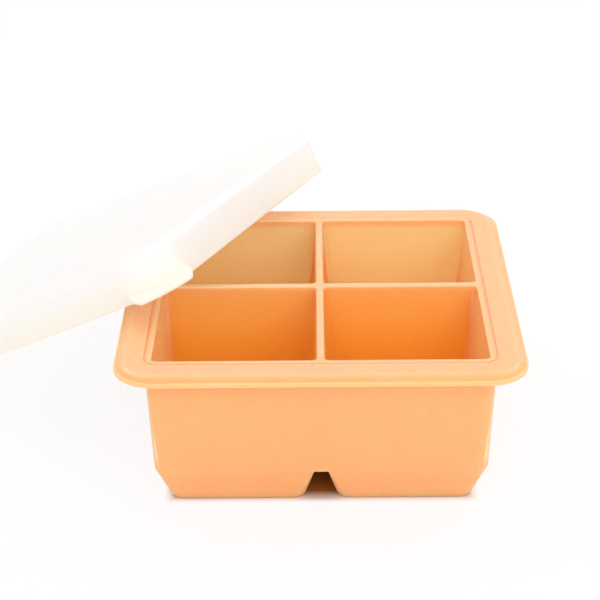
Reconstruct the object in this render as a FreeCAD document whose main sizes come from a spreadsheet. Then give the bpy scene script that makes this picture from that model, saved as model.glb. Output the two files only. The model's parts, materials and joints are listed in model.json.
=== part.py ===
import FreeCAD, Part
import math
import os

import Sketcher

# Freezer tray for baby food: a one-piece moulded silicone tray with four square cells on four
# tapered feet, and its soft one-piece lid, taken off and leaning on one corner of the tray.
# Millimetres. The origin is the centre of the tray's footprint on the table, +X to the right,
# +Y to the back, +Z up.

doc = FreeCAD.newDocument("FreezerTray")
sizes = doc.addObject("Spreadsheet::Sheet", "Sizes")

# Every driving size: its name, its value and what it is.
DRIVING_SIZES = [
    # the tray's rim
    ("tray_height", "62", "table to rim top"),
    ("rim_land", "5.6", "flat of the rim between the seal groove and the shoulder"),
    ("rim_corner", "15", "rim corner radius in plan"),
    ("shoulder_arc", "5.1", "radius of the rim's rolled shoulder"),
    ("shoulder_run", "4", "how far the shoulder rolls outwards"),
    ("lip_step", "1", "how far the lip stands out past the shoulder"),
    ("lip_height", "1.8", "upright edge of the lip"),
    # the tray's cells and walls
    ("opening_width", "122.4", "across all four cells at the rim"),
    ("wall", "3", "side wall thickness"),
    ("floor_thickness", "3", "cell floor thickness"),
    ("divider", "2.8", "divider thickness at the rim"),
    ("side_draft", "2.35", "draft of walls and dividers, degrees"),
    ("tub_corner", "5", "outside corner radius of the tub"),
    ("cell_corner", "2", "cell corner radius at the rim"),
    ("cell_waist_corner", "4.5", "cell corner radius where the cell starts to narrow"),
    ("cell_floor_corner", "6", "cell corner radius at the floor"),
    ("cell_floor_round", "4", "fillet between cell wall and floor"),
    # the tray's seal groove
    ("seal_bead", "2", "flat bead between an opening and the seal groove"),
    ("groove_width", "1.2", "seal groove width"),
    ("groove_depth", "0.6", "seal groove depth"),
    # the tray's feet
    ("foot_height", "15.2", "height of the four feet"),
    ("foot_draft", "20.3", "slope of a foot's outer sides, degrees"),
    ("channel_width", "5.2", "gap between two feet at its roof"),
    ("channel_draft", "12.3", "slope of the gap's sides, degrees"),
    ("roof_corner", "0.4", "corner radius of a foot beside the gap, at the gap's roof"),
    ("mouth_flare", "5", "the same radius at the foot's underside, so the gap's mouth flares"),
    ("foot_round", "1.2", "fillet round a foot's underside"),
    # the lid
    ("lid_clearance", "0.5", "gap between lid skirt and rim"),
    ("lid_wall", "2.7", "lid skirt thickness"),
    ("lid_panel", "1.8", "lid panel thickness"),
    ("lid_depth", "17", "lid height, skirt and panel"),
    ("lid_edge", "3", "fillet between lid panel and skirt"),
    ("snap_reach", "0.8", "how far the snap ridge hooks under the lip"),
    ("snap_height", "1.6", "snap ridge height"),
    ("seat_gap", "0.3", "play between pieces that touch"),
    ("rib_width", "0.7", "seal rib width"),
    ("rib_height", "0.5", "seal rib height"),
    ("tab_width", "25", "pull tab, across the lid's corner"),
    ("tab_reach", "6.5", "how far the pull tab stands out of the corner"),
    ("tab_thickness", "1.5", "pull tab thickness"),
    ("tab_corner", "5", "pull tab corner radius"),
    ("tab_droop", "14", "slope of the pull tab, degrees"),
    ("tab_rise", "1.2", "skirt edge to the tab's underside, in the middle of the skirt's wall"),
    # how the lid leans
    ("lean_turn", "-22.5", "turn of the lid about the vertical, degrees"),
    ("lean_reach", "87.3", "lid's low edge to the rim corner that carries it"),
    ("lean_offset", "6.5", "rim corner to the lid's centre line"),
]
for row, (alias, value, meaning) in enumerate(DRIVING_SIZES, start=1):
    sizes.set(f"A{row}", meaning)
    sizes.set(f"B{row}", value)
    sizes.setAlias(f"B{row}", alias)
doc.recompute()


def measure(expression):
    """The value that an expression of the sheet has now."""
    return float(sizes.evalExpression(expression))


def origin_feature(body, role):
    """One of a body's own origin planes or axes."""
    return next(item for item in body.Origin.OriginFeatures if item.Role == role)


def rounded_rectangle(body, label, height, sides, corner):
    """A level sketch of a rectangle with round corners. sides holds low x, high x, low y and
    high y; all are expressions of the sheet."""
    sketch = body.newObject("Sketcher::SketchObject", label)
    sketch.AttachmentSupport = (origin_feature(body, "XY_Plane"), [""])
    sketch.MapMode = "FlatFace"
    sketch.setExpression("AttachmentOffset.Base.z", height)
    draw_rounded_rectangle(sketch, sides, corner)
    return sketch


def draw_rounded_rectangle(sketch, sides, corner):
    """Adds one rounded rectangle to a sketch and ties it to the sheet."""
    x0, x1, y0, y1 = [measure(side) for side in sides]
    radius = measure(corner)
    up = FreeCAD.Vector(0, 0, 1)

    def point(x, y):
        return FreeCAD.Vector(x, y, 0)

    def arc(x, y, start):
        circle = Part.Circle(point(x, y), up, radius)
        return Part.ArcOfCircle(circle, math.radians(start), math.radians(start + 90))

    first = sketch.GeometryCount
    sketch.addGeometry([
        Part.LineSegment(point(x0 + radius, y0), point(x1 - radius, y0)),
        arc(x1 - radius, y0 + radius, -90),
        Part.LineSegment(point(x1, y0 + radius), point(x1, y1 - radius)),
        arc(x1 - radius, y1 - radius, 0),
        Part.LineSegment(point(x1 - radius, y1), point(x0 + radius, y1)),
        arc(x0 + radius, y1 - radius, 90),
        Part.LineSegment(point(x0, y1 - radius), point(x0, y0 + radius)),
        arc(x0 + radius, y0 + radius, 180),
    ], False)
    for step in range(8):
        sketch.addConstraint(Sketcher.Constraint("Tangent", first + step, 2, first + (step + 1) % 8, 1))
    for line in (0, 4):
        sketch.addConstraint(Sketcher.Constraint("Horizontal", first + line))
    for line in (2, 6):
        sketch.addConstraint(Sketcher.Constraint("Vertical", first + line))
    for other in (3, 5, 7):
        sketch.addConstraint(Sketcher.Constraint("Equal", first + 1, first + other))
    bind(sketch, Sketcher.Constraint("Radius", first + 1, radius), corner)
    bind(sketch, Sketcher.Constraint("DistanceX", -1, 1, first + 6, 1, x0), sides[0])
    bind(sketch, Sketcher.Constraint("DistanceX", -1, 1, first + 2, 1, x1), sides[1])
    bind(sketch, Sketcher.Constraint("DistanceY", -1, 1, first + 0, 1, y0), sides[2])
    bind(sketch, Sketcher.Constraint("DistanceY", -1, 1, first + 4, 1, y1), sides[3])


def foot_outline(body, label, height, sides, gap_corner):
    """A level sketch of one foot at a height: a square with one radius at the tray's own corner
    and another at the three corners that meet the gaps. sides holds low and high, the same on
    both axes."""
    sketch = body.newObject("Sketcher::SketchObject", label)
    sketch.AttachmentSupport = (origin_feature(body, "XY_Plane"), [""])
    sketch.MapMode = "FlatFace"
    sketch.setExpression("AttachmentOffset.Base.z", height)
    near, far = [measure(side) for side in sides]
    small, large = measure(gap_corner), measure("Sizes.tub_corner")

    def point(x, y):
        return FreeCAD.Vector(x, y, 0)

    def arc(x, y, radius, start):
        circle = Part.Circle(point(x, y), FreeCAD.Vector(0, 0, 1), radius)
        return Part.ArcOfCircle(circle, math.radians(start), math.radians(start + 90))

    sketch.addGeometry([
        Part.LineSegment(point(near + small, near), point(far - small, near)),
        arc(far - small, near + small, small, -90),
        Part.LineSegment(point(far, near + small), point(far, far - large)),
        arc(far - large, far - large, large, 0),
        Part.LineSegment(point(far - large, far), point(near + small, far)),
        arc(near + small, far - small, small, 90),
        Part.LineSegment(point(near, far - small), point(near, near + small)),
        arc(near + small, near + small, small, 180),
    ], False)
    for step in range(8):
        sketch.addConstraint(Sketcher.Constraint("Tangent", step, 2, (step + 1) % 8, 1))
    for line in (0, 4):
        sketch.addConstraint(Sketcher.Constraint("Horizontal", line))
    for line in (2, 6):
        sketch.addConstraint(Sketcher.Constraint("Vertical", line))
    for other in (5, 7):
        sketch.addConstraint(Sketcher.Constraint("Equal", 1, other))
    bind(sketch, Sketcher.Constraint("Radius", 1, small), gap_corner)
    bind(sketch, Sketcher.Constraint("Radius", 3, large), "Sizes.tub_corner")
    bind(sketch, Sketcher.Constraint("DistanceX", -1, 1, 6, 1, near), sides[0])
    bind(sketch, Sketcher.Constraint("DistanceX", -1, 1, 2, 1, far), sides[1])
    bind(sketch, Sketcher.Constraint("DistanceY", -1, 1, 0, 1, near), sides[0])
    bind(sketch, Sketcher.Constraint("DistanceY", -1, 1, 4, 1, far), sides[1])
    return sketch


def bind(sketch, constraint, expression):
    """Adds a dimension to a sketch and binds it to the sheet."""
    index = sketch.addConstraint(constraint)
    sketch.setExpression(f"Constraints[{index}]", expression)


def centred(half):
    """The four sides of a square about the origin, from its half width."""
    return (f"-({half})", half, f"-({half})", half)


def loft(body, kind, label, sections):
    """A straight-sided solid, or a hollow, through a row of sketches."""
    feature = body.newObject(f"PartDesign::{kind}", label)
    feature.Profile = sections[0]
    feature.Sections = sections[1:]
    feature.Ruled = True
    return feature


def four_times(body, label, feature):
    """Repeats a feature in all four quarters of the tray."""
    pattern = body.newObject("PartDesign::PolarPattern", label)
    pattern.Originals = [feature]
    pattern.Axis = (origin_feature(body, "Z_Axis"), [""])
    pattern.Angle = 360
    pattern.Occurrences = 4
    body.Tip = pattern
    return pattern


def level_edges(shape, height):
    """The names of the edges that lie level at a height."""
    names = []
    for number, edge in enumerate(shape.Edges, start=1):
        box = edge.BoundBox
        if abs(box.ZMin - height) < 0.01 and abs(box.ZMax - height) < 0.01:
            names.append(f"Edge{number}")
    return names


def fillet(body, label, base, edges, radius):
    """A fillet along named edges, its radius bound to the sheet."""
    feature = body.newObject("PartDesign::Fillet", label)
    feature.Base = (base, edges)
    feature.setExpression("Radius", radius)
    doc.recompute()


# Sizes that follow from the driving ones: the tray's
OPENING_HALF = "(Sizes.opening_width / 2)"
GROOVE_INNER = f"({OPENING_HALF} + Sizes.seal_bead)"
GROOVE_OUTER = f"({GROOVE_INNER} + Sizes.groove_width)"
FLAT_HALF = f"({GROOVE_OUTER} + Sizes.rim_land)"
SHOULDER_HALF = f"({FLAT_HALF} + Sizes.shoulder_run)"
RIM_HALF = f"({SHOULDER_HALF} + Sizes.lip_step)"
SHOULDER_DROP = "(Sizes.shoulder_arc - sqrt(Sizes.shoulder_arc ^ 2 - Sizes.shoulder_run ^ 2))"
LIP_TOP = f"(Sizes.tray_height - {SHOULDER_DROP})"
LIP_BOTTOM = f"({LIP_TOP} - Sizes.lip_height)"
TUB_HALF = f"({OPENING_HALF} + Sizes.wall)"
BREAK_HALF = f"({TUB_HALF} - (Sizes.tray_height - Sizes.foot_height) * tan(Sizes.side_draft))"
FOOT_HALF = f"({BREAK_HALF} - Sizes.foot_height * tan(Sizes.foot_draft))"
CHANNEL_HALF = "(Sizes.channel_width / 2)"
CHANNEL_FOOT_HALF = f"({CHANNEL_HALF} + Sizes.foot_height * tan(Sizes.channel_draft))"
WAIST = "(Sizes.foot_height + 2 * Sizes.wall)"
WAIST_DRAFT = f"(Sizes.tray_height - {WAIST}) * tan(Sizes.side_draft)"


def make_tray():
    """The silicone tray: tub, four feet, swept rim, four cells and the seal groove."""
    body = doc.addObject("PartDesign::Body", "Tray")
    body.Label = "tray"

    # the tub, solid at first, from the roof of the gaps between the feet up to the rim
    tub_low = rounded_rectangle(body, "TubLow", "Sizes.foot_height", centred(BREAK_HALF), "Sizes.tub_corner")
    tub_high = rounded_rectangle(body, "TubHigh", "Sizes.tray_height", centred(TUB_HALF), "Sizes.tub_corner")
    loft(body, "AdditiveLoft", "Tub", [tub_low, tub_high])

    # four feet with sloping sides
    foot_low = foot_outline(body, "FootLow", "0", (CHANNEL_FOOT_HALF, FOOT_HALF), "Sizes.mouth_flare")
    foot_high = foot_outline(
        body, "FootHigh", "Sizes.foot_height", (CHANNEL_HALF, BREAK_HALF), "Sizes.roof_corner")
    foot = loft(body, "AdditiveLoft", "Foot", [foot_low, foot_high])
    feet = four_times(body, "Feet", foot)
    doc.recompute()
    fillet(body, "FootRound", feet, level_edges(feet.Shape, 0), "Sizes.foot_round")

    # the rim: its section swept round the tray
    path = rounded_rectangle(body, "RimPath", LIP_BOTTOM, centred(RIM_HALF), "Sizes.rim_corner")
    section = rim_section(body)
    rim = body.newObject("PartDesign::AdditivePipe", "Rim")
    rim.Profile = section
    rim.Spine = (path, [f"Edge{number}" for number in range(1, 9)])
    body.Tip = rim

    # four cells, narrower below the waist, where the feet taper
    cell_top = rounded_rectangle(
        body, "CellTop", "Sizes.tray_height", ("Sizes.divider / 2", OPENING_HALF) * 2, "Sizes.cell_corner")
    waist_sides = (f"Sizes.divider / 2 + {WAIST_DRAFT}", f"{OPENING_HALF} - {WAIST_DRAFT}")
    cell_waist = rounded_rectangle(body, "CellWaist", WAIST, waist_sides * 2, "Sizes.cell_waist_corner")
    floor_sides = (
        f"{CHANNEL_FOOT_HALF} - Sizes.floor_thickness * tan(Sizes.channel_draft)"
        " + Sizes.wall / cos(Sizes.channel_draft)",
        f"{FOOT_HALF} + Sizes.floor_thickness * tan(Sizes.foot_draft)"
        " - Sizes.wall / cos(Sizes.foot_draft)")
    cell_floor = rounded_rectangle(
        body, "CellFloor", "Sizes.floor_thickness", floor_sides * 2, "Sizes.cell_floor_corner")
    cell = loft(body, "SubtractiveLoft", "Cell", [cell_top, cell_waist, cell_floor])
    cells = four_times(body, "Cells", cell)
    doc.recompute()
    floors = level_edges(cells.Shape, measure("Sizes.floor_thickness"))
    fillet(body, "CellFloorRound", cells, floors, "Sizes.cell_floor_round")

    # the seal groove round all four openings, between two concentric rounded squares
    groove_sketch = body.newObject("Sketcher::SketchObject", "GrooveOutline")
    groove_sketch.AttachmentSupport = (origin_feature(body, "XY_Plane"), [""])
    groove_sketch.MapMode = "FlatFace"
    groove_sketch.setExpression("AttachmentOffset.Base.z", "Sizes.tray_height")
    for half in (GROOVE_INNER, GROOVE_OUTER):
        corner = f"Sizes.cell_corner + {half} - {OPENING_HALF}"
        draw_rounded_rectangle(groove_sketch, centred(half), corner)
    groove = body.newObject("PartDesign::Pocket", "Groove")
    groove.Profile = groove_sketch
    groove.setExpression("Length", "Sizes.groove_depth")
    doc.recompute()
    return body


def rim_section(body):
    """The rim's section on the XZ plane: flat top, rolled shoulder, small step and upright lip."""
    sketch = body.newObject("Sketcher::SketchObject", "RimSection")
    sketch.AttachmentSupport = (origin_feature(body, "XZ_Plane"), [""])
    sketch.MapMode = "FlatFace"
    inner = f"({TUB_HALF} - Sizes.wall / 2)"
    x_in, x_flat, x_shoulder, x_rim = [measure(x) for x in (inner, FLAT_HALF, SHOULDER_HALF, RIM_HALF)]
    z_low, z_step, z_top = [measure(z) for z in (LIP_BOTTOM, LIP_TOP, "Sizes.tray_height")]
    radius = measure("Sizes.shoulder_arc")

    def point(x, z):
        return FreeCAD.Vector(x, z, 0)

    circle = Part.Circle(point(x_flat, z_top - radius), FreeCAD.Vector(0, 0, 1), radius)
    end_angle = math.acos((x_shoulder - x_flat) / radius)
    sketch.addGeometry([
        Part.LineSegment(point(x_in, z_low), point(x_rim, z_low)),
        Part.LineSegment(point(x_rim, z_low), point(x_rim, z_step)),
        Part.LineSegment(point(x_rim, z_step), point(x_shoulder, z_step)),
        Part.ArcOfCircle(circle, end_angle, math.pi / 2),
        Part.LineSegment(point(x_flat, z_top), point(x_in, z_top)),
        Part.LineSegment(point(x_in, z_top), point(x_in, z_low)),
    ], False)
    for start, end in ((0, 1), (1, 2), (4, 5), (5, 0)):
        sketch.addConstraint(Sketcher.Constraint("Coincident", start, 2, end, 1))
    sketch.addConstraint(Sketcher.Constraint("Coincident", 2, 2, 3, 1))
    sketch.addConstraint(Sketcher.Constraint("Tangent", 3, 2, 4, 1))
    for line in (0, 2, 4):
        sketch.addConstraint(Sketcher.Constraint("Horizontal", line))
    for line in (1, 5):
        sketch.addConstraint(Sketcher.Constraint("Vertical", line))
    bind(sketch, Sketcher.Constraint("DistanceX", -1, 1, 5, 1, x_in), inner)
    bind(sketch, Sketcher.Constraint("DistanceX", -1, 1, 1, 1, x_rim), RIM_HALF)
    bind(sketch, Sketcher.Constraint("DistanceX", -1, 1, 4, 1, x_flat), FLAT_HALF)
    bind(sketch, Sketcher.Constraint("DistanceX", -1, 1, 2, 2, x_shoulder), SHOULDER_HALF)
    bind(sketch, Sketcher.Constraint("DistanceY", -1, 1, 0, 1, z_low), LIP_BOTTOM)
    bind(sketch, Sketcher.Constraint("DistanceY", -1, 1, 4, 1, z_top), "Sizes.tray_height")
    bind(sketch, Sketcher.Constraint("Radius", 3, radius), "Sizes.shoulder_arc")
    return sketch


# Sizes that follow from the driving ones: the lid's
CAVITY_HALF = f"({RIM_HALF} + Sizes.lid_clearance)"
LID_HALF = f"({CAVITY_HALF} + Sizes.lid_wall)"
LID_CORNER = "(Sizes.rim_corner + Sizes.lid_clearance + Sizes.lid_wall)"
CAVITY_CORNER = "(Sizes.rim_corner + Sizes.lid_clearance)"
CAVITY_DEPTH = "(Sizes.lid_depth - Sizes.lid_panel)"
RIM_THICKNESS = f"({SHOULDER_DROP} + Sizes.lip_height)"
SNAP_TOP = f"({CAVITY_DEPTH} - {RIM_THICKNESS} - 2 * Sizes.seat_gap)"
SNAP_BOTTOM = f"({SNAP_TOP} - Sizes.snap_height)"


def make_lid():
    """The lid, built about its own centre: skirt edge at z = 0, panel on top, open below."""
    body = doc.addObject("PartDesign::Body", "Lid")
    body.Label = "lid"

    # the outside: a shallow block with a rounded top edge
    outline = rounded_rectangle(body, "LidOutline", "0", centred(LID_HALF), LID_CORNER)
    block = body.newObject("PartDesign::Pad", "LidBlock")
    block.Profile = outline
    block.setExpression("Length", "Sizes.lid_depth")
    doc.recompute()
    fillet(body, "LidEdge", block, level_edges(block.Shape, measure("Sizes.lid_depth")), "Sizes.lid_edge")

    # the pull tab: a drooping lip on one corner, rooted under the skirt
    add_tab(body)

    # the hollow that goes over the rim, with the snap ridge left standing in it
    mouth = rounded_rectangle(body, "MouthOutline", "0", centred(CAVITY_HALF), CAVITY_CORNER)
    hollow(body, "Mouth", mouth, SNAP_BOTTOM, both_ways=True)
    neck_half = f"({RIM_HALF} - Sizes.snap_reach)"
    neck_corner = "(Sizes.rim_corner - Sizes.snap_reach)"
    neck = rounded_rectangle(body, "NeckOutline", SNAP_BOTTOM, centred(neck_half), neck_corner)
    hollow(body, "Neck", neck, "Sizes.snap_height")
    seat = rounded_rectangle(body, "SeatOutline", SNAP_TOP, centred(CAVITY_HALF), CAVITY_CORNER)
    hollow(body, "Seat", seat, f"{CAVITY_DEPTH} - {SNAP_TOP}")

    # the seal rib under the panel, which drops into the tray's groove
    rib_sketch = body.newObject("Sketcher::SketchObject", "RibOutline")
    rib_sketch.AttachmentSupport = (origin_feature(body, "XY_Plane"), [""])
    rib_sketch.MapMode = "FlatFace"
    rib_sketch.setExpression("AttachmentOffset.Base.z", f"{CAVITY_DEPTH} - Sizes.rib_height")
    middle = f"({GROOVE_INNER} + Sizes.groove_width / 2)"
    for half in (f"({middle} - Sizes.rib_width / 2)", f"({middle} + Sizes.rib_width / 2)"):
        corner = f"Sizes.cell_corner + {half} - {OPENING_HALF}"
        draw_rounded_rectangle(rib_sketch, centred(half), corner)
    rib = body.newObject("PartDesign::Pad", "SealRib")
    rib.Profile = rib_sketch
    rib.setExpression("Length", "Sizes.rib_height + Sizes.lid_panel / 2")
    doc.recompute()
    return body


def hollow(body, label, sketch, length, both_ways=False):
    """A pocket upwards from a level sketch, or downwards as well."""
    pocket = body.newObject("PartDesign::Pocket", label)
    pocket.Profile = sketch
    pocket.Reversed = True
    if both_ways:
        pocket.Midplane = True
        pocket.setExpression("Length", f"2 * {length}")
    else:
        pocket.setExpression("Length", length)
    return pocket


def add_tab(body):
    """The pull tab on the lid's corner at +X, -Y: a rounded plate that slopes down outwards from
    the middle of the skirt's wall."""
    root = f"{LID_HALF} - {LID_CORNER} + ({LID_CORNER} - Sizes.lid_wall / 2) * cos(45)"
    outline = body.newObject("Sketcher::SketchObject", "TabOutline")
    outline.AttachmentSupport = (origin_feature(body, "XY_Plane"), [""])
    outline.MapMode = "FlatFace"
    turn = FreeCAD.Rotation(FreeCAD.Vector(0, 0, 1), -45)
    slope = FreeCAD.Rotation(FreeCAD.Vector(0, 1, 0), measure("Sizes.tab_droop"))
    outline.AttachmentOffset = FreeCAD.Placement(FreeCAD.Vector(), turn * slope)
    outline.setExpression("AttachmentOffset.Base.x", root)
    outline.setExpression("AttachmentOffset.Base.y", f"-({root})")
    outline.setExpression("AttachmentOffset.Base.z", "Sizes.tab_rise")
    sides = (
        f"-({LID_CORNER})", "Sizes.tab_reach + Sizes.lid_wall / 2",
        "-(Sizes.tab_width / 2)", "Sizes.tab_width / 2")
    draw_rounded_rectangle(outline, sides, "Sizes.tab_corner")
    tab = body.newObject("PartDesign::Pad", "PullTab")
    tab.Profile = outline
    tab.setExpression("Length", "Sizes.tab_thickness")
    doc.recompute()


def lean(body):
    """Leans the lid: its low edge on the table, its panel on the tray's back left rim corner.
    Returns a point on the low edge and the edge's direction."""
    turn = math.radians(measure("Sizes.lean_turn"))
    uphill = FreeCAD.Vector(math.cos(turn), math.sin(turn), 0)
    along = FreeCAD.Vector(-math.sin(turn), math.cos(turn), 0)

    # the arc of the rolled shoulder that carries the lid is centred at this point
    corner = measure(f"{RIM_HALF} - Sizes.rim_corner")
    height = measure("Sizes.tray_height - Sizes.shoulder_arc")
    arc_ring = measure(f"{FLAT_HALF}") - corner
    carrier = FreeCAD.Vector(-corner, corner, height) - uphill * arc_ring

    # tilt at which the panel's underside clears that arc by the seat gap
    reach = measure("Sizes.lean_reach")
    below_panel = measure(f"{CAVITY_DEPTH} - Sizes.shoulder_arc - Sizes.seat_gap")
    tilt = math.atan2(carrier.z, reach) - math.asin(below_panel / math.hypot(reach, carrier.z))

    foot = carrier - uphill * reach - along * measure("Sizes.lean_offset")
    foot.z = 0
    slope = uphill * math.cos(tilt) + FreeCAD.Vector(0, 0, math.sin(tilt))
    normal = slope.cross(along)
    centre = foot + slope * measure(LID_HALF)
    body.Placement = FreeCAD.Placement(centre, FreeCAD.Rotation(slope, along, normal, "ZXY"))
    return foot, along, tilt


def check_and_write(bodies):
    """Stops on any feature that failed, then writes each piece to its own file."""
    failed = [item.Name for item in doc.Objects if "Invalid" in item.State or "Error" in item.State]
    if failed:
        raise RuntimeError(f"features that failed: {failed}")
    for body in bodies:
        shape = body.Shape
        if shape.isNull() or not shape.isValid() or len(shape.Solids) != 1:
            raise RuntimeError(f"{body.Label} is not one valid solid")
    os.makedirs("parts", exist_ok=True)
    for body in bodies:
        body.Shape.exportStep(f"parts/{body.Label}.step")
        print(f"{body.Label}: {body.Shape.Volume / 1000:.1f} cm3")


tray = make_tray()
lid = make_lid()
foot, along, tilt = lean(lid)
doc.recompute()
check_and_write([tray, lid])
print("lid tips about", foot, "along", along, "tilt", math.degrees(tilt))
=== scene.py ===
import json
import math

import bmesh
import bpy
from mathutils import Matrix, Vector


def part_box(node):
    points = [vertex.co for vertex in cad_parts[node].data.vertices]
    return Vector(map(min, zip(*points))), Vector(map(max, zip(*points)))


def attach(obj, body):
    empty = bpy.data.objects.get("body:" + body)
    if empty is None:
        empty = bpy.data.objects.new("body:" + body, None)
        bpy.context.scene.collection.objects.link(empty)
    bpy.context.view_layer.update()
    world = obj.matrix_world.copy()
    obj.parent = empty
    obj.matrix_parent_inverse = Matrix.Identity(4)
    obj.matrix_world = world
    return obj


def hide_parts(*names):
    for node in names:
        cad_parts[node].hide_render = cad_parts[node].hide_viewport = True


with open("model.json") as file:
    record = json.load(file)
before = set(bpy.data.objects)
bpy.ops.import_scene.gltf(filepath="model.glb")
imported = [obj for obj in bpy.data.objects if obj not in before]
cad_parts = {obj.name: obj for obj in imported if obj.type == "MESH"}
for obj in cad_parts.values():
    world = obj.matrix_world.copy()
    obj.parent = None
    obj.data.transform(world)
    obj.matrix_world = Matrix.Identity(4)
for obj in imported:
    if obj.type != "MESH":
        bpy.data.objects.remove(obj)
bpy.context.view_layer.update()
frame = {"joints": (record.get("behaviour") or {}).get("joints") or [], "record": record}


# ---------------------------------------------------------------------------------------------
# The tray: one compression moulding in soft apricot silicone. A wide flat rim rolls over into a
# short upright lip, four square cells taper down into four feet, and a cross-shaped gap runs
# between the feet. It stands on the feet, with every edge softened as the mould leaves it.
# ---------------------------------------------------------------------------------------------

MM = 0.001
tray_low, tray_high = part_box("tray")
TRAY_MIDDLE = (tray_low + tray_high) / 2 / MM
RIM_TOP = tray_high.z / MM
RIM_HALF = (tray_high.x - tray_low.x) / 2 / MM
RIM_CORNER = 15.0

OPENING_HALF = 61.2         # the four cells together, at the rim
DIVIDER = 2.8
WALL = 3.0
DRAFT = math.radians(2.35)
CELL_CORNER = 2.0           # at the rim, then where a cell starts to narrow, then at its floor
CELL_WAIST_CORNER = 4.5
CELL_FLOOR_CORNER = 6.0
SEAL_BEAD = 2.0             # flat bead between an opening and the seal groove
GROOVE_WIDTH = 1.2
GROOVE_DEPTH = 0.6
SHOULDER_ARC = 5.1
SHOULDER_RUN = 4.0
LIP_STEP = 1.0
LIP_HEIGHT = 1.8
TUB_CORNER = 5.0
FOOT_HEIGHT = 15.2
FOOT_DRAFT = math.radians(20.3)
CHANNEL_HALF = 2.6
CHANNEL_DRAFT = math.radians(12.3)
ROOF_CORNER = 0.4           # a foot's corner beside the gap, at the gap's roof
MOUTH_FLARE = 5.0           # the same corner at the table, so that the gap's mouths flare
FLOOR = 3.0

# fillets along the tray's edges
GROOVE_ROUND = 0.2
SHOULDER_ROUND = 0.3
LIP_ROUND = 0.4
WAISTLINE_ROUND = 0.8
FOOT_ROUND = 1.2
MOUTH_ROUND = 0.7
WAIST_ROUND = 10.0
CELL_FLOOR_ROUND = 4.0

CORNER_STEPS = 12           # facets round each corner of a ring
SHARP_TURN = math.radians(50)
LEVEL_PLAY = 0.01           # how far from a height an edge still counts as lying at it
SAME_POINT = 0.02
QUARTERS = ((1, 1), (-1, 1), (-1, -1), (1, -1))


def ring(mesh, middle, half, corner, height, others=None):
    """A level square with round corners. others gives the corners that face the tray's middle
    lines a radius of their own. Returns its edges in order, from its side at +X."""
    place = Matrix.Translation((middle[0], middle[1], height))
    square = bmesh.ops.create_grid(mesh, x_segments=1, y_segments=1, size=half, matrix=place)
    for vertex in square["verts"]:
        outermost = min(abs(vertex.co.x), abs(vertex.co.y)) > abs(middle[0])
        rounded = bmesh.ops.bevel(
            mesh, geom=[vertex], offset=corner if outermost or others is None else others,
            offset_type="OFFSET", segments=CORNER_STEPS, profile=0.5, affect="VERTICES", material=-1)
    face = rounded["verts"][0].link_faces[0]
    edges = list(face.edges)
    bmesh.ops.delete(mesh, geom=[face], context="FACES_ONLY")
    first = max(range(len(edges)), key=lambda number: sum(v.co.x for v in edges[number].verts))
    return edges[first:] + edges[:first]


def skin(mesh, rings):
    """Joins a row of rings, each to the next, with a face from edge to edge."""
    for this, following in zip(rings, rings[1:]):
        for near, far in zip(this, following):
            a, b = near.verts
            c, d = far.verts
            if (b.co - a.co).dot(d.co - c.co) > 0:
                c, d = d, c
            mesh.faces.new((a, b, c, d))


def soften(mesh, edges, radius, steps=4):
    """Rounds a run of edges to a radius, whatever angle they turn by."""
    reach = radius * math.tan(edges[0].calc_face_angle() / 2)
    bmesh.ops.bevel(
        mesh, geom=edges, offset=reach, offset_type="OFFSET", segments=steps, profile=0.5,
        affect="EDGES", material=-1)


def settle(row, key):
    """Puts a mesh's points, edges or faces in an order that follows from key alone."""
    rank = {item: place for place, item in enumerate(sorted(row, key=key))}
    row.sort(key=rank.get)
    row.index_update()


def finished_piece(mesh, name, place):
    """Puts a bmesh in its place and makes the object, smooth shaded except across its sharp edges."""
    bmesh.ops.recalc_face_normals(mesh, faces=mesh.faces)
    for face in mesh.faces:
        face.smooth = True
    for edge in mesh.edges:
        edge.smooth = edge.calc_face_angle(0) < SHARP_TURN
    bmesh.ops.transform(mesh, matrix=place @ Matrix.Scale(MM, 4), verts=mesh.verts)

    # a bevel leaves its faces in an order that changes from run to run, so all are put in order
    settle(mesh.verts, lambda vertex: vertex.co[:])
    settle(mesh.edges, lambda edge: sorted(vertex.index for vertex in edge.verts))
    settle(mesh.faces, lambda face: sorted(vertex.index for vertex in face.verts))
    data = bpy.data.meshes.new(name)
    mesh.to_mesh(data)
    mesh.free()
    piece = bpy.data.objects.new(name, data)
    bpy.context.scene.collection.objects.link(piece)
    normals = piece.modifiers.new("even_normals", "WEIGHTED_NORMAL")
    normals.mode = "FACE_AREA"
    normals.weight = 50
    normals.keep_sharp = True
    return piece


tray_mesh = bmesh.new()

# rim: seal groove, flat land, rolled shoulder, lip, then the outside of the tub
GROOVE_INNER = OPENING_HALF + SEAL_BEAD
GROOVE_OUTER = GROOVE_INNER + GROOVE_WIDTH
FLAT_HALF = RIM_HALF - LIP_STEP - SHOULDER_RUN
TOP_MARGIN = 0.3            # ring of flat rim kept beside an edge that is rounded
SHOULDER_STEPS = 6
SHOULDER_TURN = math.asin(SHOULDER_RUN / SHOULDER_ARC)
LIP_TOP = RIM_TOP - SHOULDER_ARC * (1 - math.cos(SHOULDER_TURN))
LIP_BOTTOM = LIP_TOP - LIP_HEIGHT
TUB_UNDER_RIM = OPENING_HALF + WALL - (RIM_TOP - LIP_BOTTOM) * math.tan(DRAFT)
TUB_BREAK = OPENING_HALF + WALL - (RIM_TOP - FOOT_HEIGHT) * math.tan(DRAFT)


def level(half, corner, height):
    """A ring about the middle of the tray."""
    return ring(tray_mesh, (0, 0), half, corner, height)


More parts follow.
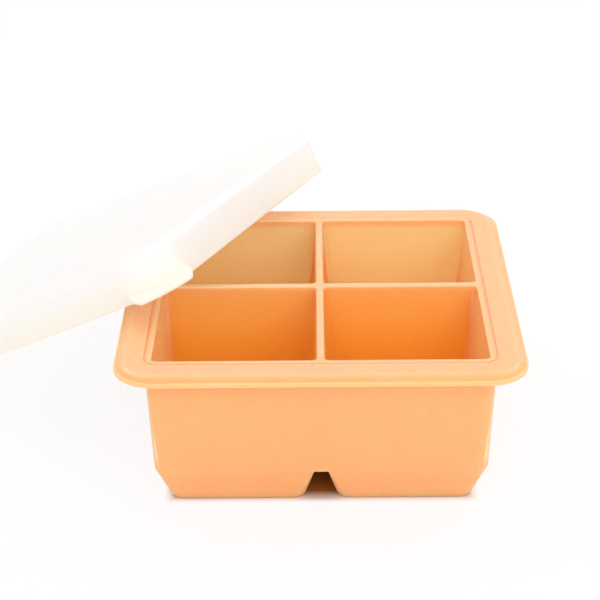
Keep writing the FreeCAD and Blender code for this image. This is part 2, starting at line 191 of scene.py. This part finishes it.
bead = level(GROOVE_INNER - TOP_MARGIN, CELL_CORNER + SEAL_BEAD - TOP_MARGIN, RIM_TOP)
groove = [
    level(GROOVE_INNER, CELL_CORNER + SEAL_BEAD, RIM_TOP),
    level(GROOVE_INNER, CELL_CORNER + SEAL_BEAD, RIM_TOP - GROOVE_DEPTH),
    level(GROOVE_OUTER, CELL_CORNER + SEAL_BEAD + GROOVE_WIDTH, RIM_TOP - GROOVE_DEPTH),
    level(GROOVE_OUTER, CELL_CORNER + SEAL_BEAD + GROOVE_WIDTH, RIM_TOP)]
shoulder = []
for step in range(SHOULDER_STEPS + 1):
    turn = SHOULDER_TURN * step / SHOULDER_STEPS
    half = FLAT_HALF + SHOULDER_ARC * math.sin(turn)
    drop = SHOULDER_ARC * (1 - math.cos(turn))
    shoulder.append(level(half, RIM_CORNER - RIM_HALF + half, RIM_TOP - drop))
lip = [level(RIM_HALF, RIM_CORNER, LIP_TOP), level(RIM_HALF, RIM_CORNER, LIP_BOTTOM)]
under_rim = level(TUB_UNDER_RIM, TUB_CORNER, LIP_BOTTOM)
tub_break = level(TUB_BREAK, TUB_CORNER, FOOT_HEIGHT)
skin(tray_mesh, [bead, *groove, *shoulder, *lip, under_rim, tub_break])

for edge_ring in groove:
    soften(tray_mesh, edge_ring, GROOVE_ROUND, 2)
soften(tray_mesh, shoulder[-1], SHOULDER_ROUND, 2)
for edge_ring in lip:
    soften(tray_mesh, edge_ring, LIP_ROUND, 3)

# feet: their outer sides carry on from the tub, so the tub's lower edge is cut where they start
FOOT_HALF = TUB_BREAK - FOOT_HEIGHT * math.tan(FOOT_DRAFT)
CHANNEL_FOOT_HALF = CHANNEL_HALF + FOOT_HEIGHT * math.tan(CHANNEL_DRAFT)
for axis in (Vector((1, 0, 0)), Vector((0, 1, 0))):
    for side in (-1, 1):
        wall = [face for face in tray_mesh.faces
                if abs(min(v.co.z for v in face.verts) - FOOT_HEIGHT) < LEVEL_PLAY]
        parts = dict.fromkeys(wall)
        for face in wall:
            parts.update(dict.fromkeys([*face.edges, *face.verts]))
        bmesh.ops.bisect_plane(
            tray_mesh, geom=list(parts), dist=0.001, plane_no=axis,
            plane_co=axis * side * (CHANNEL_HALF + ROOF_CORNER))

undersides = []
for sx, sy in QUARTERS:
    top_middle = (CHANNEL_HALF + TUB_BREAK) / 2
    low_middle = (CHANNEL_FOOT_HALF + FOOT_HALF) / 2
    top = ring(tray_mesh, (sx * top_middle, sy * top_middle), (TUB_BREAK - CHANNEL_HALF) / 2,
               TUB_CORNER, FOOT_HEIGHT, ROOF_CORNER)
    low = ring(tray_mesh, (sx * low_middle, sy * low_middle), (FOOT_HALF - CHANNEL_FOOT_HALF) / 2,
               TUB_CORNER, 0, MOUTH_FLARE)
    skin(tray_mesh, [top, low])
    bmesh.ops.contextual_create(tray_mesh, geom=low)
    undersides.append(low)
bmesh.ops.remove_doubles(tray_mesh, verts=tray_mesh.verts, dist=SAME_POINT)


def at_height(height):
    """The edges that lie level at a height."""
    return [edge for edge in tray_mesh.edges
            if all(abs(v.co.z - height) < LEVEL_PLAY for v in edge.verts)]


roof = [edge for edge in at_height(FOOT_HEIGHT) if len(edge.link_faces) == 1]
bmesh.ops.contextual_create(tray_mesh, geom=roof)
bmesh.ops.recalc_face_normals(tray_mesh, faces=tray_mesh.faces)

# the line where the tub's sides turn inwards into the feet, without the edges of the gap's roof
waistline = [edge for edge in at_height(FOOT_HEIGHT)
             if edge.calc_face_angle() > 0.05 and all(abs(f.normal.z) < 0.9 for f in edge.link_faces)]
bmesh.ops.bevel(
    tray_mesh, geom=waistline, offset=WAISTLINE_ROUND, offset_type="OFFSET", segments=3, profile=0.5,
    affect="EDGES", material=-1)
for low in undersides:
    soften(tray_mesh, low, FOOT_ROUND, 4)

# cells: straight walls down to a waist, then in towards a rounded floor
CELL_MIDDLE = (DIVIDER / 2 + OPENING_HALF) / 2
CELL_HALF = (OPENING_HALF - DIVIDER / 2) / 2
WAIST = FOOT_HEIGHT + 2 * WALL
CELL_MARGIN = 0.9           # ring of flat rim kept beside a cell's rounded mouth
floor_inner = CHANNEL_FOOT_HALF - FLOOR * math.tan(CHANNEL_DRAFT) + WALL / math.cos(CHANNEL_DRAFT)
floor_outer = FOOT_HALF + FLOOR * math.tan(FOOT_DRAFT) - WALL / math.cos(FOOT_DRAFT)
mouths = []
for sx, sy in QUARTERS:
    middle = (sx * CELL_MIDDLE, sy * CELL_MIDDLE)
    floor_middle = (floor_inner + floor_outer) / 2
    mouth = ring(tray_mesh, middle, CELL_HALF + CELL_MARGIN, CELL_CORNER + CELL_MARGIN, RIM_TOP)
    opening = ring(tray_mesh, middle, CELL_HALF, CELL_CORNER, RIM_TOP)
    waist = ring(tray_mesh, middle, CELL_HALF - (RIM_TOP - WAIST) * math.tan(DRAFT),
                 CELL_WAIST_CORNER, WAIST)
    low = ring(tray_mesh, (sx * floor_middle, sy * floor_middle), (floor_outer - floor_inner) / 2,
               CELL_FLOOR_CORNER, FLOOR)
    skin(tray_mesh, [mouth, opening, waist, low])
    bmesh.ops.contextual_create(tray_mesh, geom=low)
    soften(tray_mesh, opening, MOUTH_ROUND, 4)
    soften(tray_mesh, waist, WAIST_ROUND, 3)
    soften(tray_mesh, low, CELL_FLOOR_ROUND, 5)
    mouths.extend(mouth)
bmesh.ops.triangle_fill(tray_mesh, use_beauty=True, edges=bead + mouths, normal=(0, 0, 1))

tray_place = Matrix.Translation((TRAY_MIDDLE.x * MM, TRAY_MIDDLE.y * MM, 0))
tray = finished_piece(tray_mesh, "silicone_tray", tray_place)


def linear(code):
    """An sRGB hex colour as linear RGBA."""
    shares = [int(code[start:start + 2], 16) / 255 for start in (1, 3, 5)]
    return (*[s / 12.92 if s <= 0.04045 else ((s + 0.055) / 1.055) ** 2.4 for s in shares], 1.0)


def add(tree, kind, inputs=(), **settings):
    """Adds a node. inputs are values or sockets by input name, settings are its own properties."""
    node = tree.nodes.new(kind)
    for name, value in settings.items():
        setattr(node, name, value)
    for name, value in dict(inputs).items():
        if isinstance(value, bpy.types.NodeSocket):
            tree.links.new(value, node.inputs[name])
        else:
            node.inputs[name].default_value = value
    return node


def from_middle(tree, place):
    """Nodes for a point's X, Y and Z, for how far it lies in front of or behind the middle, and for
    the larger of that and how far it lies to one side."""
    spot = add(tree, "ShaderNodeSeparateXYZ", {"Vector": place.outputs["Object"]})
    aside = add(tree, "ShaderNodeMath", {0: spot.outputs["X"]}, operation="ABSOLUTE")
    away = add(tree, "ShaderNodeMath", {0: spot.outputs["Y"]}, operation="ABSOLUTE")
    reach = add(tree, "ShaderNodeMath", {0: aside.outputs[0], 1: away.outputs[0]}, operation="MAXIMUM")
    return spot, away, reach


GRAIN_SIZE = 0.7
GRAIN_DEPTH = 0.05


def blasted_grain(tree, place):
    """Nodes for the grain of a bead-blasted mould, and the dents that it leaves."""
    grain = add(tree, "ShaderNodeTexNoise", {
        "Vector": place.outputs["Object"], "Scale": 1 / (GRAIN_SIZE * MM), "Detail": 4.0,
        "Roughness": 0.6})
    dents = add(tree, "ShaderNodeBump", {
        "Height": grain.outputs["Fac"], "Strength": 0.08, "Distance": GRAIN_DEPTH * MM})
    return grain, dents


# Silicone rubber, pigmented apricot and compression moulded in a bead-blasted steel mould: it is
# satin, and light soaks a few millimetres into it. The pigment is very slightly cloudy. The
# blasted grain is about 0.1 mm, too fine to show, so it is drawn 0.7 mm coarse. The light that
# soaks through one wall and colours the next isn't followed, so it is painted into the colour by place.
# The flat top of the rim is painted paler, a painted sheen. The outer walls' inner sides are painted
# paler too, painted light as if lit through the thin wall, at the front and back twice as much as at
# the sides. The dividers are painted deeper, a painted shade, more so further down. The cells' parts
# inside the feet, the feet and the outside keep the plain tint.
CLOUD_SIZE = 28
# heights and widths where the painted sheen, painted light and painted shade below start and end
PAINTED_SHEEN_START = RIM_TOP - 1
PAINTED_SHEEN_FULL = RIM_TOP - 0.2
RIM_FADE_START = RIM_TOP - 0.8
RIM_FADE_END = RIM_TOP - 4
PAINTED_SHADE_DEEPEST = RIM_TOP - 24
INWARD_START = OPENING_HALF - 2
INWARD_FULL = OPENING_HALF - 3.5
INNER_SIDE = OPENING_HALF - 0.8
INNER_SIDE_BAND = 1.2
apricot = bpy.data.materials.new("apricot_silicone_blasted_mould")
apricot.use_nodes = True
tree = apricot.node_tree
tree.nodes.clear()
place = add(tree, "ShaderNodeTexCoord")
cloud = add(tree, "ShaderNodeTexNoise", {
    "Vector": place.outputs["Object"], "Scale": 1 / (CLOUD_SIZE * MM), "Detail": 3.0, "Roughness": 0.5})
tint = add(tree, "ShaderNodeValToRGB", {"Fac": cloud.outputs["Fac"]})
tint.color_ramp.elements[0].position = 0.3
tint.color_ramp.elements[0].color = linear("#FCB577")
tint.color_ramp.elements[1].position = 0.7
tint.color_ramp.elements[1].color = linear("#FEB77B")
spot, away, reach = from_middle(tree, place)
inward = add(tree, "ShaderNodeMapRange", {
    "Value": reach.outputs[0], "From Min": INWARD_START * MM, "From Max": INWARD_FULL * MM})
sides = add(tree, "ShaderNodeMath", {
    0: reach.outputs[0], 1: INNER_SIDE * MM, 2: INNER_SIDE_BAND * MM}, operation="COMPARE")
facing = add(tree, "ShaderNodeMath", {
    0: away.outputs[0], 1: INNER_SIDE * MM, 2: INNER_SIDE_BAND * MM}, operation="COMPARE")
outer_walls = add(tree, "ShaderNodeMath", {0: sides.outputs[0], 1: facing.outputs[0]}, operation="ADD")
below_rim = add(tree, "ShaderNodeMapRange", {
    "Value": spot.outputs["Z"], "From Min": RIM_FADE_START * MM, "From Max": RIM_FADE_END * MM})
above_feet = add(tree, "ShaderNodeMapRange", {
    "Value": spot.outputs["Z"], "From Min": FOOT_HEIGHT * MM, "From Max": WAIST * MM})
painted_shade_downward = add(tree, "ShaderNodeMapRange", {
    "Value": spot.outputs["Z"], "From Min": RIM_TOP * MM, "From Max": PAINTED_SHADE_DEEPEST * MM})
# painted sheen: the flat top of the rim is painted paler, for the white sheen off it
painted_sheen_mask = add(tree, "ShaderNodeMapRange", {
    "Value": spot.outputs["Z"], "From Min": PAINTED_SHEEN_START * MM, "From Max": PAINTED_SHEEN_FULL * MM})
window = add(tree, "ShaderNodeMath", {
    0: above_feet.outputs["Result"], 1: below_rim.outputs["Result"]}, operation="MULTIPLY")
# painted light: the outer walls' inner sides are painted paler, as if lit through the thin wall from
# behind
painted_backlight_mask = add(tree, "ShaderNodeMapRange", {
    "Value": outer_walls.outputs[0], "From Max": 2.0, "To Max": window.outputs[0]})
# painted shade: everything between the outer walls, chiefly the dividers, is painted a deeper orange,
# more so further down
painted_shade_mask = add(tree, "ShaderNodeMath", {
    0: inward.outputs["Result"], 1: window.outputs[0]}, operation="MULTIPLY")
with_painted_sheen = add(tree, "ShaderNodeMix", {
    "Factor": painted_sheen_mask.outputs["Result"], "A": tint.outputs["Color"], "B": linear("#FCBC88")},
    data_type="RGBA")
with_painted_backlight = add(tree, "ShaderNodeMix", {
    "Factor": painted_backlight_mask.outputs["Result"], "A": with_painted_sheen.outputs["Result"], "B": linear("#FFD8A0")},
    data_type="RGBA")
painted_shade_colour = add(tree, "ShaderNodeMix", {
    "Factor": painted_shade_downward.outputs["Result"], "A": linear("#FFB66A"), "B": linear("#FFB748")},
    data_type="RGBA")
# the plain tint with the painted sheen, painted light and painted shade mixed in
tint = add(tree, "ShaderNodeMix", {
    "Factor": painted_shade_mask.outputs[0], "A": with_painted_backlight.outputs["Result"], "B": painted_shade_colour.outputs["Result"]},
    data_type="RGBA")
grain, dents = blasted_grain(tree, place)
gloss = add(tree, "ShaderNodeMapRange", {
    "Value": grain.outputs["Fac"], "To Min": 0.25, "To Max": 0.31})
skin_shader = add(tree, "ShaderNodeBsdfPrincipled", {
    "Base Color": tint.outputs["Result"], "Roughness": gloss.outputs["Result"], "IOR": 1.5,
    "Subsurface Weight": 1.0, "Subsurface Radius": (1.0, 0.7, 0.8), "Subsurface Scale": 8 * MM,
    "Normal": dents.outputs["Normal"]})
add(tree, "ShaderNodeOutputMaterial", {"Surface": skin_shader.outputs["BSDF"]})
tray.data.materials.append(apricot)

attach(tray, "tray")
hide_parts("tray")


# ---------------------------------------------------------------------------------------------
# The lid: a shallow square cap in milky silicone, moulded in one with a pull tab that droops
# from one corner. A ridge inside the skirt hooks under the tray's lip and a thin rib under the
# panel drops into the seal groove. It has been taken off and leans on a corner of the rim.
# ---------------------------------------------------------------------------------------------

LID_CLEARANCE = 0.5
LID_WALL = 2.7
LID_PANEL = 1.8
LID_DEPTH = 17.0
LID_EDGE = 3.0
SNAP_REACH = 0.8
SNAP_HEIGHT = 1.6
SEAT_GAP = 0.3
RIB_WIDTH = 0.7
RIB_HEIGHT = 0.5
TAB_HALF = 12.5
TAB_REACH = 6.5
TAB_THICKNESS = 1.5
TAB_DROOP = math.radians(14)
TAB_RISE = 0.86             # skirt edge to the tab's underside, where it leaves the skirt
TAB_SQUARENESS = 4          # 2 is an ellipse, and more makes the tab's end squarer
TAB_START = 1.0             # how far out the tab's sides start

# fillets along the lid's edges
SKIRT_OUTER_ROUND = 0.5
SKIRT_INNER_ROUND = 0.8
SNAP_ROUND = 0.4
CEILING_ROUND = 1.0
RIB_ROUND = 0.2
TAB_ROUND = 0.5
LEAST_CORNER = 1.5

CAVITY_HALF = RIM_HALF + LID_CLEARANCE
CAVITY_CORNER = RIM_CORNER + LID_CLEARANCE
LID_HALF = CAVITY_HALF + LID_WALL
LID_CORNER = CAVITY_CORNER + LID_WALL
CAVITY_DEPTH = LID_DEPTH - LID_PANEL
SNAP_TOP = CAVITY_DEPTH - (RIM_TOP - LIP_BOTTOM) - 2 * SEAT_GAP
NECK_HALF = RIM_HALF - SNAP_REACH
RIB_MIDDLE = GROOVE_INNER + GROOVE_WIDTH / 2
TAB_TOP = TAB_RISE + TAB_THICKNESS / math.cos(TAB_DROOP)
PANEL_MARGIN = 1.0
PANEL_RINGS = (50, 30, 10)  # half widths of the rings that the panel's faces are made of

lid_mesh = bmesh.new()


def lid_level(half, height):
    """A ring of the lid: its corner radius follows from how far out it lies."""
    return ring(lid_mesh, (0, 0), half, max(LID_CORNER - (LID_HALF - half), LEAST_CORNER), height)


top_middle = lid_level(LID_HALF - LID_EDGE - PANEL_MARGIN, LID_DEPTH)
top_edge = lid_level(LID_HALF, LID_DEPTH)
tab_lines = [lid_level(LID_HALF, TAB_TOP), lid_level(LID_HALF, TAB_RISE)]
skirt_edges = [lid_level(LID_HALF, 0), lid_level(CAVITY_HALF, 0)]
snap = [
    lid_level(CAVITY_HALF, SNAP_TOP - SNAP_HEIGHT),
    lid_level(NECK_HALF, SNAP_TOP - SNAP_HEIGHT),
    lid_level(NECK_HALF, SNAP_TOP),
    lid_level(CAVITY_HALF, SNAP_TOP)]
ceiling = lid_level(CAVITY_HALF, CAVITY_DEPTH)
rib = [
    lid_level(RIB_MIDDLE + RIB_WIDTH / 2, CAVITY_DEPTH),
    lid_level(RIB_MIDDLE + RIB_WIDTH / 2, CAVITY_DEPTH - RIB_HEIGHT),
    lid_level(RIB_MIDDLE - RIB_WIDTH / 2, CAVITY_DEPTH - RIB_HEIGHT),
    lid_level(RIB_MIDDLE - RIB_WIDTH / 2, CAVITY_DEPTH)]
ceiling_middle = lid_level(RIB_MIDDLE - RIB_WIDTH / 2 - PANEL_MARGIN, CAVITY_DEPTH)
skin(lid_mesh, [top_middle, top_edge, *tab_lines, *skirt_edges, *snap, ceiling, *rib, ceiling_middle])
for middle, height in ((top_middle, LID_DEPTH), (ceiling_middle, CAVITY_DEPTH)):
    panel = [middle] + [lid_level(half, height) for half in PANEL_RINGS]
    skin(lid_mesh, panel)
    bmesh.ops.contextual_create(lid_mesh, geom=panel[-1])
bmesh.ops.recalc_face_normals(lid_mesh, faces=lid_mesh.faces)
soften(lid_mesh, top_edge, LID_EDGE, 6)
soften(lid_mesh, skirt_edges[0], SKIRT_OUTER_ROUND, 3)
soften(lid_mesh, skirt_edges[1], SKIRT_INNER_ROUND, 3)
for edge_ring in snap:
    soften(lid_mesh, edge_ring, SNAP_ROUND, 3)
soften(lid_mesh, ceiling, CEILING_ROUND, 3)
for edge_ring in rib:
    soften(lid_mesh, edge_ring, RIB_ROUND, 2)

# the pull tab grows out of the skirt's corner at +X, -Y
OUTWARDS = Vector((1, -1, 0)).normalized()
ACROSS = Vector((1, 1, 0)).normalized()
corner_middle = (LID_HALF - LID_CORNER) * math.sqrt(2)
apex = corner_middle + LID_CORNER


def tab_slope(vertex):
    """Lowers a vertex along the slope of the tab."""
    vertex.co.z -= (vertex.co.dot(OUTWARDS) - apex) * math.tan(TAB_DROOP)


# the faces on the outside of the skirt's corner that become the tab
band = []
for face in lid_mesh.faces:
    centre = face.calc_center_median()
    in_band = TAB_RISE < centre.z < TAB_TOP and abs(centre.dot(ACROSS)) < TAB_HALF
    if in_band and centre.dot(OUTWARDS) > corner_middle and face.normal.dot(OUTWARDS) > 0.3:
        if (centre.to_2d() - (OUTWARDS * corner_middle).to_2d()).length > LID_CORNER - 1:
            band.append(face)
band_half = max(abs(v.co.dot(ACROSS)) for face in band for v in face.verts)
grown = bmesh.ops.extrude_face_region(lid_mesh, geom=band)
bmesh.ops.delete(lid_mesh, geom=band, context="FACES")
tab_vertices = [item for item in grown["geom"] if isinstance(item, bmesh.types.BMVert)]
for vertex in tab_vertices:
    share = min(abs(vertex.co.dot(ACROSS)) / band_half, 1)
    roundness = (1 - share ** TAB_SQUARENESS) ** (1 / TAB_SQUARENESS)
    out = apex + TAB_START + (TAB_REACH - TAB_START) * roundness
    vertex.co += OUTWARDS * (out - vertex.co.dot(OUTWARDS))
root_vertices = dict.fromkeys(
    v for vertex in tab_vertices for edge in vertex.link_edges for v in edge.verts)
for vertex in root_vertices:
    tab_slope(vertex)
tab_edges = dict.fromkeys(
    edge for vertex in tab_vertices for edge in vertex.link_edges
    if edge.calc_face_angle(0) > SHARP_TURN)
bmesh.ops.bevel(
    lid_mesh, geom=list(tab_edges), offset=TAB_ROUND, offset_type="OFFSET", segments=3, profile=0.5,
    affect="EDGES", material=-1)

# how far below the panel's top each point lies, from 0 to 1, for the painted warm shade towards the
# skirt's edge
below_top = lid_mesh.verts.layers.float.new("below_top")
for vertex in lid_mesh.verts:
    vertex[below_top] = 1 - vertex.co.z / LID_DEPTH

# the lid is soft: its far corner, which nothing carries, sags, so it twists from its low edge up
SAG_TWIST = math.radians(-3)
for vertex in lid_mesh.verts:
    share = (vertex.co.x + LID_HALF) / (2 * LID_HALF)
    pivot = Vector((vertex.co.x, 0, LID_DEPTH / 2))
    vertex.co = pivot + Matrix.Rotation(SAG_TWIST * share, 3, "X") @ (vertex.co - pivot)

# where the lid lies: its top face's mount and the edge that it tips on give its frame
tip = next(joint for joint in frame["joints"] if joint["name"] == "lid_tip")
top_mount = next(mount for mount in frame["record"]["mounts"] if mount["name"] == "lid_top")
up = Vector(top_mount["axis"]).normalized()
along = -Vector(tip["axis"]).normalized()
uphill = along.cross(up)
centre = Vector(top_mount["pos_m"]) - up * LID_DEPTH * MM
lid_place = Matrix.Translation(centre) @ Matrix((uphill, along, up)).transposed().to_4x4()
lid = finished_piece(lid_mesh, "silicone_lid", lid_place)

# Silicone rubber without pigment, compression moulded: milky and satin, with the same grain as the
# tray, drawn as coarse. Towards the skirt's edge it is painted creamier and a little darker, a
# painted warm shade for the apricot light from the tray. A share of the light that reaches
# it goes through to the other side, and most of the lamps' light passes, so its shadow is faint.
HAZE_SIZE = 35
THROUGH_SHARE = 0.12
PASSED_SHARE = 0.93
milky = bpy.data.materials.new("milky_silicone_blasted_mould")
milky.use_nodes = True
tree = milky.node_tree
tree.nodes.clear()
place = add(tree, "ShaderNodeTexCoord")
haze = add(tree, "ShaderNodeTexNoise", {
    "Vector": place.outputs["Object"], "Scale": 1 / (HAZE_SIZE * MM), "Detail": 2.0})
tint = add(tree, "ShaderNodeValToRGB", {"Fac": haze.outputs["Fac"]})
tint.color_ramp.elements[0].position = 0.3
tint.color_ramp.elements[0].color = linear("#FDFCFA")
tint.color_ramp.elements[1].position = 0.7
tint.color_ramp.elements[1].color = linear("#FEFDFB")
skirt_painted_shade = add(tree, "ShaderNodeAttribute", attribute_name="below_top")
# painted warm shade: creamier and a little darker towards the skirt's edge
tint = add(tree, "ShaderNodeMix", {
    "Factor": skirt_painted_shade.outputs["Fac"], "A": tint.outputs["Color"], "B": linear("#F9F2E6")},
    data_type="RGBA")
grain, dents = blasted_grain(tree, place)
skin_shader = add(tree, "ShaderNodeBsdfPrincipled", {
    "Base Color": tint.outputs["Result"], "Roughness": 0.6, "IOR": 1.41,
    "Subsurface Weight": 1.0, "Subsurface Radius": (1.0, 0.9, 0.8), "Subsurface Scale": 1.5 * MM,
    "Normal": dents.outputs["Normal"]})
through = add(tree, "ShaderNodeBsdfTranslucent", {"Color": tint.outputs["Result"]})
milk = add(tree, "ShaderNodeMixShader", {
    0: THROUGH_SHARE, 1: skin_shader.outputs["BSDF"], 2: through.outputs["BSDF"]})
rays = add(tree, "ShaderNodeLightPath")
passing = add(tree, "ShaderNodeMath", {
    0: rays.outputs["Is Shadow Ray"], 1: PASSED_SHARE}, operation="MULTIPLY")
clear = add(tree, "ShaderNodeBsdfTransparent", {"Color": linear("#FFFFFF")})
shown = add(tree, "ShaderNodeMixShader", {
    0: passing.outputs[0], 1: milk.outputs[0], 2: clear.outputs["BSDF"]})
add(tree, "ShaderNodeOutputMaterial", {"Surface": shown.outputs[0]})
lid.data.materials.append(milky)

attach(lid, "lid")
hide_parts("lid")


# ---------------------------------------------------------------------------------------------
# The studio: a white table top that keeps soft shadows, a white surround, four softboxes (one
# overhead, the strongest in front, two small ones behind), and the camera.
# ---------------------------------------------------------------------------------------------

TABLE_HALF = 4.0
table_mesh = bmesh.new()
bmesh.ops.create_grid(table_mesh, x_segments=1, y_segments=1, size=TABLE_HALF)
table_data = bpy.data.meshes.new("table_top")
table_mesh.to_mesh(table_data)
table_mesh.free()
table_top = bpy.data.objects.new("table_top", table_data)
bpy.context.scene.collection.objects.link(table_top)

# White laminate, matt. The camera sees it as white, with the shadow full where the tray stands and
# a faint share of it further off. Under the tray and between its feet its colour is painted deep
# brown: a painted shadow, tinted for the apricot light that soaks through the feet.
SHADOW_FAR = 0.12
SHADOW_START = FOOT_HALF + 0.5
SHADOW_FADE = 3.0
PAINTED_SHADOW_START = FOOT_HALF + 1
PAINTED_SHADOW_FULL = FOOT_HALF - 5
laminate = bpy.data.materials.new("white_laminate")
laminate.use_nodes = True
tree = laminate.node_tree
tree.nodes.clear()
rays = add(tree, "ShaderNodeLightPath")
place = add(tree, "ShaderNodeTexCoord")
spot, away, reach = from_middle(tree, place)
white_share = add(tree, "ShaderNodeMapRange", {
    "Value": reach.outputs[0], "From Min": SHADOW_START * MM,
    "From Max": (FOOT_HALF + SHADOW_FADE) * MM, "To Min": 0.0, "To Max": 1 - SHADOW_FAR})
seen_white = add(tree, "ShaderNodeMath", {
    0: white_share.outputs["Result"], 1: rays.outputs["Is Camera Ray"]}, operation="MULTIPLY")
# painted shadow: the laminate is painted deep brown under the tray and between its feet
shade = add(tree, "ShaderNodeMapRange", {
    "Value": reach.outputs[0], "From Min": PAINTED_SHADOW_START * MM, "From Max": PAINTED_SHADOW_FULL * MM})
painted_shadow_tone = add(tree, "ShaderNodeMix", {
    "Factor": shade.outputs["Result"], "A": linear("#FAFAFA"), "B": linear("#A06A30")},
    data_type="RGBA")
matt = add(tree, "ShaderNodeBsdfDiffuse", {"Color": painted_shadow_tone.outputs["Result"]})
white = add(tree, "ShaderNodeEmission", {"Strength": 1.0})
mixed = add(tree, "ShaderNodeMixShader", {
    0: seen_white.outputs[0], 1: matt.outputs[0], 2: white.outputs[0]})
add(tree, "ShaderNodeOutputMaterial", {"Surface": mixed.outputs[0]})
table_data.materials.append(laminate)

# the surround: seen and mirrored as white, and a little less bright as a light
SURROUND_LIGHT = 0.68
SURROUND_SEEN = 1.0
world = bpy.data.worlds.new("studio")
bpy.context.scene.world = world
world.use_nodes = True
tree = world.node_tree
tree.nodes.clear()
rays = add(tree, "ShaderNodeLightPath")
soft = add(tree, "ShaderNodeBackground", {"Color": linear("#FFFFFF"), "Strength": SURROUND_LIGHT})
bright = add(tree, "ShaderNodeBackground", {"Color": linear("#FFFFFF"), "Strength": SURROUND_SEEN})
seen = add(tree, "ShaderNodeMath", {
    0: rays.outputs["Is Camera Ray"], 1: rays.outputs["Is Glossy Ray"]}, operation="MAXIMUM")
seen = add(tree, "ShaderNodeMath", {
    0: seen.outputs[0], 1: rays.outputs["Is Transmission Ray"]}, operation="MAXIMUM")
mixed = add(tree, "ShaderNodeMixShader", {0: seen.outputs[0], 1: soft.outputs[0], 2: bright.outputs[0]})
add(tree, "ShaderNodeOutputWorld", {"Surface": mixed.outputs[0]})

LAMP_TARGET = Vector((0, 0, 0.04))
for name, place, width, height, watts in (
        ("overhead_softbox", (0, 0.3, 1.15), 1.6, 1.0, 3.4),
        ("front_softbox", (0.25, -1.1, 0.75), 1.2, 0.9, 6.9),
        ("back_left_softbox", (-0.85, 0.85, 1.2), 0.35, 0.35, 2.4),
        ("back_right_softbox", (0.85, 0.85, 1.2), 0.35, 0.35, 2.4)):
    lamp_data = bpy.data.lights.new(name, "AREA")
    lamp_data.shape = "RECTANGLE"
    lamp_data.size = width
    lamp_data.size_y = height
    lamp_data.energy = watts
    lamp = bpy.data.objects.new(name, lamp_data)
    bpy.context.scene.collection.objects.link(lamp)
    lamp.location = place
    lamp.rotation_mode = "QUATERNION"
    lamp.rotation_quaternion = (LAMP_TARGET - Vector(place)).to_track_quat("-Z", "Y")

# the camera looks down by 27 degrees from in front, and is turned and rolled by under a degree
LENS = 106.19
SENSOR = 36.0
YAW = math.radians(0.521)
ELEVATION = math.radians(26.744)
ROLL = math.radians(-0.679)
DISTANCE = 0.6953
TARGET = Vector((-0.00773, 0.00039, 0.05508))
back = Vector((
    math.sin(YAW) * math.cos(ELEVATION), -math.cos(YAW) * math.cos(ELEVATION), math.sin(ELEVATION)))
right = Vector((math.cos(YAW), math.sin(YAW), 0))
top = back.cross(right)
rolled_right = math.cos(ROLL) * right + math.sin(ROLL) * top
rolled_top = -math.sin(ROLL) * right + math.cos(ROLL) * top
camera_data = bpy.data.cameras.new("camera")
camera_data.lens = LENS
camera_data.sensor_width = SENSOR
camera = bpy.data.objects.new("camera", camera_data)
bpy.context.scene.collection.objects.link(camera)
facing = Matrix((rolled_right, rolled_top, back)).transposed().to_4x4()
camera.matrix_world = Matrix.Translation(TARGET + back * DISTANCE) @ facing
bpy.context.scene.camera = camera
bpy.context.scene.view_settings.view_transform = "Standard"
